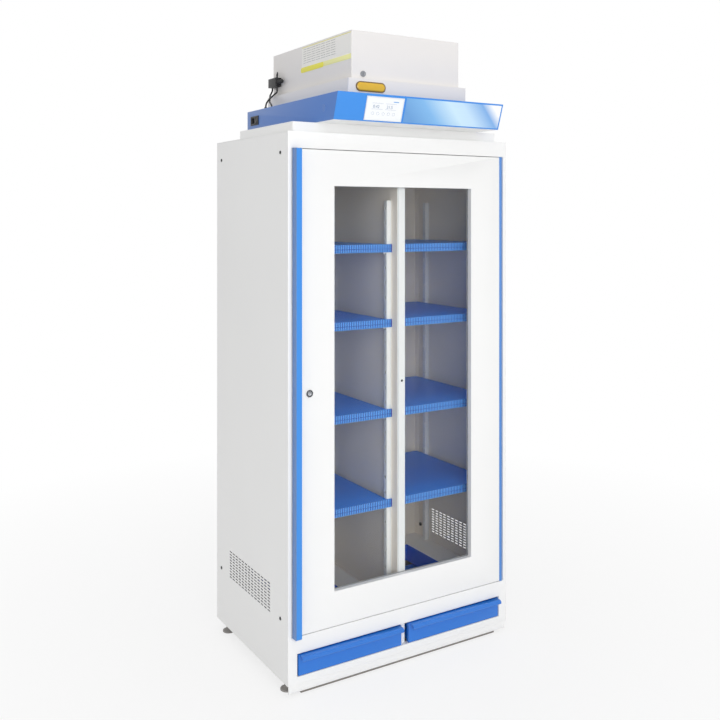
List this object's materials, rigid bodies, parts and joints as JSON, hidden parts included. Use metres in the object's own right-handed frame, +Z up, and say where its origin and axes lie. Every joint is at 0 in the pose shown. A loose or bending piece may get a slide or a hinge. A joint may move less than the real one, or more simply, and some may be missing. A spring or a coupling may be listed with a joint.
{
  "type": "filtered safety cabinet",
  "caption": "Tall white ventilated storage cabinet with a glazed door, shelved bays either side of a partition, base drawers, and a blue fan box with a filter unit on its roof.",
  "frame": {"origin": "on the ground at the centre of the whole outline", "axes": "+X to the right seen from the front, +Y from the front to the back, +Z up"},
  "size_m": [0.8032, 0.6257, 1.907],
  "materials": {
    "white_paint": "smooth satin powder coat",
    "floor_paint": "satin powder coat",
    "fan_blue": "satin powder coat",
    "shelf_blue": "satin powder coat",
    "drawer_blue": "satin powder coat",
    "skirt_paint": "satin powder coat",
    "rail_paint": "dull coat",
    "filter_paint": "smooth satin coat",
    "steel": "zinc plated",
    "lock_metal": "polished",
    "rubber": "matt",
    "seal_rubber": "matt",
    "glass": "clear",
    "black_plastic": "fine texture",
    "impeller_plastic": "moulded",
    "filter_media": "pleated",
    "display_glass": "glossy",
    "overlay_film": "satin film"
  },
  "bodies": {
    "cabinet": {"front_frame": "white_paint", "side_panel_left": "white_paint", "side_panel_right": "white_paint", "back_panel": "white_paint", "roof_panel": "white_paint", "base_plate": "white_paint", "floor_panel": "floor_paint", "floor_chutes": "shelf_blue", "drawer_divider": "white_paint", "plinth_skirt": "skirt_paint", "base_rails": "rail_paint", "foot_pads": "rubber", "foot_studs": "steel", "centre_partition": "white_paint", "shelf_uprights": "white_paint", "shelf_clips": "steel", "shelf_left_1": "shelf_blue", "shelf_left_2": "shelf_blue", "shelf_left_3": "shelf_blue", "shelf_left_4": "shelf_blue", "shelf_right_1": "shelf_blue", "shelf_right_2": "shelf_blue", "shelf_right_3": "shelf_blue", "shelf_right_4": "shelf_blue", "drawer_runners": "steel", "panel_screws": "steel", "riser_plenum": "white_paint", "fan_box_base": "white_paint", "fan_box_cover": "fan_blue", "display_panel": "display_glass", "control_overlay": "overlay_film", "power_inlet": "black_plastic", "fan_bracket": "steel", "fan_motor": "black_plastic", "inlet_ring": "steel", "filter_frame": "filter_paint", "filter_gasket": "seal_rubber", "filter_block": "filter_media", "filter_cover": "filter_paint", "filter_lock_case": "lock_metal", "sensor_plug": "black_plastic", "sensor_leads": "black_plastic", "hinge_pins": "steel"},
    "door": {"door_frame": "white_paint", "door_back": "white_paint", "door_pane": "glass", "pane_gasket": "seal_rubber", "door_seal": "seal_rubber", "door_grip": "fan_blue", "hinge_profile": "fan_blue", "lock_case": "lock_metal"},
    "door_lock": {"lock_plug": "lock_metal", "lock_cam": "steel"},
    "drawer_left": {"drawer_left_front": "drawer_blue", "drawer_left_tray": "drawer_blue"},
    "drawer_right": {"drawer_right_front": "drawer_blue", "drawer_right_tray": "drawer_blue"},
    "rocker": {"power_rocker": "black_plastic"},
    "filter_lock": {"filter_lock_plug": "lock_metal"},
    "impeller": {"fan_impeller": "impeller_plastic"}
  },
  "joints": [
    {"name": "door_swing", "type": "hinge", "parent": "cabinet", "child": "door", "pos_m": [0.3785, -0.1995, 0.86], "axis": [0, 0, 1], "range_deg": [0, 110]},
    {"name": "door_lock_turn", "type": "hinge", "parent": "door", "child": "door_lock", "pos_m": [-0.331, -0.1955, 0.85308], "axis": [0, 1, 0], "range_deg": [0, 90]},
    {"name": "drawer_left_slide", "type": "slide", "parent": "cabinet", "child": "drawer_left", "axis": [0, -1, 0], "range_m": [0, 0.33]},
    {"name": "drawer_right_slide", "type": "slide", "parent": "cabinet", "child": "drawer_right", "axis": [0, -1, 0], "range_m": [0, 0.33]},
    {"name": "rocker_tilt", "type": "hinge", "parent": "cabinet", "child": "rocker", "pos_m": [-0.2955, 0.2205, 1.675], "axis": [0, 1, 0], "range_deg": [-18, 0]},
    {"name": "filter_lock_turn", "type": "hinge", "parent": "cabinet", "child": "filter_lock", "pos_m": [-0.158, -0.2155, 1.78], "axis": [0, 1, 0], "range_deg": [0, 90]},
    {"name": "impeller_spin", "type": "hinge", "parent": "cabinet", "child": "impeller", "pos_m": [0, 0.0045, 1.66], "axis": [0, 0, 1], "continuous": true}
  ]
}
